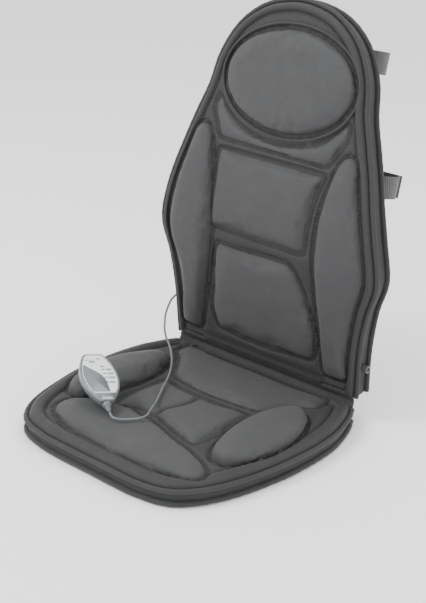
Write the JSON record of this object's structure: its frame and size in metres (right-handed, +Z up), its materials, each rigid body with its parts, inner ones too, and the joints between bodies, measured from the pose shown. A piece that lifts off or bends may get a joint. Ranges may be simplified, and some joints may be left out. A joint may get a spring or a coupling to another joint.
{
  "type": "massage seat topper",
  "caption": "Quilted seat and back massage pad that folds at the crease, with an oval kneading head cushion, shaped bolsters, straps and a corded handset on the seat.",
  "frame": {"origin": "on the flat underside of the seat pad, on the centre line, 203 mm in front of the pad's rear edge", "axes": "+X to the sitter's left, -Y to the front, +Z up the back pad"},
  "size_m": [0.5004, 0.6095, 0.7025],
  "materials": {
    "leatherette": "dark charcoal suede-touch leatherette",
    "cushion_cover": "dark charcoal suede-touch leatherette over wadding",
    "side_fabric": "dark woven side and rear fabric",
    "foam": "open-cell foam",
    "dark_plastic": "moulded dark grey plastic",
    "motor_steel": "zinc-plated steel",
    "nylon_gear": "natural nylon",
    "rubber_node": "firm rubber",
    "webbing": "woven elastic webbing",
    "handset_dark": "satin dark grey plastic",
    "handset_silver": "satin silver-white plastic",
    "circuit_board": "green laminate",
    "button_grey": "soft grey keys",
    "cord_jacket": "grey flexible cord jacket"
  },
  "bodies": {
    "seat": {"seat_bottom_cover": "side_fabric", "seat_foam_core": "foam", "seat_top_cover": "leatherette", "seat_piping_upper": "leatherette", "seat_piping_lower": "side_fabric", "seat_front_bolster": "cushion_cover", "seat_centre_panel": "cushion_cover", "seat_rear_panel": "cushion_cover", "seat_left_bolster": "cushion_cover", "seat_right_bolster": "cushion_cover", "left_thigh_vibration_case": "dark_plastic", "left_thigh_vibration_motor": "motor_steel", "right_thigh_vibration_case": "dark_plastic", "right_thigh_vibration_motor": "motor_steel", "handset_cord": "cord_jacket"},
    "back": {"back_rear_cover": "side_fabric", "back_foam_core": "foam", "back_front_cover": "leatherette", "back_piping_front": "leatherette", "back_piping_rear": "side_fabric", "head_oval_cushion": "cushion_cover", "neck_panel": "cushion_cover", "upper_back_panel": "cushion_cover", "lumbar_panel": "cushion_cover", "back_left_wing": "cushion_cover", "back_right_wing": "cushion_cover", "lumbar_vibration_case": "dark_plastic", "lumbar_vibration_motor": "motor_steel", "kneader_front_plate": "dark_plastic", "kneader_rear_tray": "dark_plastic", "kneader_motor": "motor_steel", "shoulder_strap": "webbing", "head_strap": "webbing", "power_inlet": "dark_plastic", "handset_cord_gland": "dark_plastic"},
    "left_thigh_weight": {"left_thigh_vibration_weight": "motor_steel"},
    "right_thigh_weight": {"right_thigh_vibration_weight": "motor_steel"},
    "lumbar_weight": {"lumbar_vibration_weight": "motor_steel"},
    "worm": {"kneader_worm": "motor_steel"},
    "kneader_left": {"kneader_wheel_left": "nylon_gear", "kneader_arm_left": "dark_plastic", "kneading_ball_left_inner": "rubber_node", "kneading_ball_left_outer": "rubber_node"},
    "kneader_right": {"kneader_wheel_right": "nylon_gear", "kneader_arm_right": "dark_plastic", "kneading_ball_right_inner": "rubber_node", "kneading_ball_right_outer": "rubber_node"},
    "strap_adjuster": {"shoulder_strap_adjuster": "dark_plastic"},
    "zip": {"zip_slider": "motor_steel"},
    "handset": {"handset_lower_shell": "handset_dark", "handset_rim": "handset_dark", "handset_face": "handset_silver", "handset_circuit_board": "circuit_board", "handset_collar": "handset_dark"},
    "key_power": {"button_power": "button_grey"},
    "key_mode_1": {"button_mode_1": "button_grey"},
    "key_mode_2": {"button_mode_2": "button_grey"},
    "key_mode_3": {"button_mode_3": "button_grey"},
    "key_heat": {"button_heat": "button_grey"}
  },
  "joints": [
    {"name": "back_fold", "type": "hinge", "parent": "seat", "child": "back", "pos_m": [0, 0.205, 0.038], "axis": [-1, 0, 0], "range_deg": [-45, 75], "deforming": ["handset_cord"]},
    {"name": "handset_lift", "type": "slide", "parent": "seat", "child": "handset", "axis": [0, 0, 1], "range_m": [0, 0.15], "deforming": ["handset_cord"]},
    {"name": "left_knead", "type": "hinge", "parent": "back", "child": "kneader_left", "pos_m": [-0.048, 0.23214, 0.56452], "axis": [0, 0.9759, -0.2181], "continuous": true},
    {"name": "right_knead", "type": "hinge", "parent": "back", "child": "kneader_right", "pos_m": [0.048, 0.23214, 0.56452], "axis": [0, 0.9759, -0.2181], "continuous": true},
    {"name": "worm_turn", "type": "hinge", "parent": "back", "child": "worm", "pos_m": [0, 0.24971, 0.5606], "axis": [0, 0.2181, 0.9759], "continuous": true},
    {"name": "left_thigh_weight_spin", "type": "hinge", "parent": "seat", "child": "left_thigh_weight", "pos_m": [-0.096, -0.128, 0.0114], "axis": [1, 0, 0], "continuous": true},
    {"name": "right_thigh_weight_spin", "type": "hinge", "parent": "seat", "child": "right_thigh_weight", "pos_m": [0.096, -0.128, 0.0114], "axis": [1, 0, 0], "continuous": true},
    {"name": "lumbar_weight_spin", "type": "hinge", "parent": "back", "child": "lumbar_weight", "pos_m": [0, 0.21932, 0.16953], "axis": [1, 0, 0], "continuous": true},
    {"name": "zip_pull", "type": "slide", "parent": "back", "child": "zip", "axis": [1, 0, 0], "range_m": [-0.336, 0]},
    {"name": "adjuster_slide", "type": "slide", "parent": "back", "child": "strap_adjuster", "axis": [1, 0, 0], "range_m": [-0.12, 0.12]},
    {"name": "press_power", "type": "slide", "parent": "handset", "child": "key_power", "axis": [-0.3051, 0.0354, -0.9517], "range_m": [0, 0.0008], "stiffness_N_per_m": 400},
    {"name": "press_mode_1", "type": "slide", "parent": "handset", "child": "key_mode_1", "axis": [-0.3051, 0.0354, -0.9517], "range_m": [0, 0.0008], "stiffness_N_per_m": 400},
    {"name": "press_mode_2", "type": "slide", "parent": "handset", "child": "key_mode_2", "axis": [-0.3051, 0.0354, -0.9517], "range_m": [0, 0.0008], "stiffness_N_per_m": 400},
    {"name": "press_mode_3", "type": "slide", "parent": "handset", "child": "key_mode_3", "axis": [-0.3051, 0.0354, -0.9517], "range_m": [0, 0.0008], "stiffness_N_per_m": 400},
    {"name": "press_heat", "type": "slide", "parent": "handset", "child": "key_heat", "axis": [-0.3051, 0.0354, -0.9517], "range_m": [0, 0.0008], "stiffness_N_per_m": 400}
  ],
  "couplings": [
    {"joint": "right_knead", "follows": "left_knead", "ratio": -1},
    {"joint": "worm_turn", "follows": "left_knead", "ratio": 36}
  ]
}
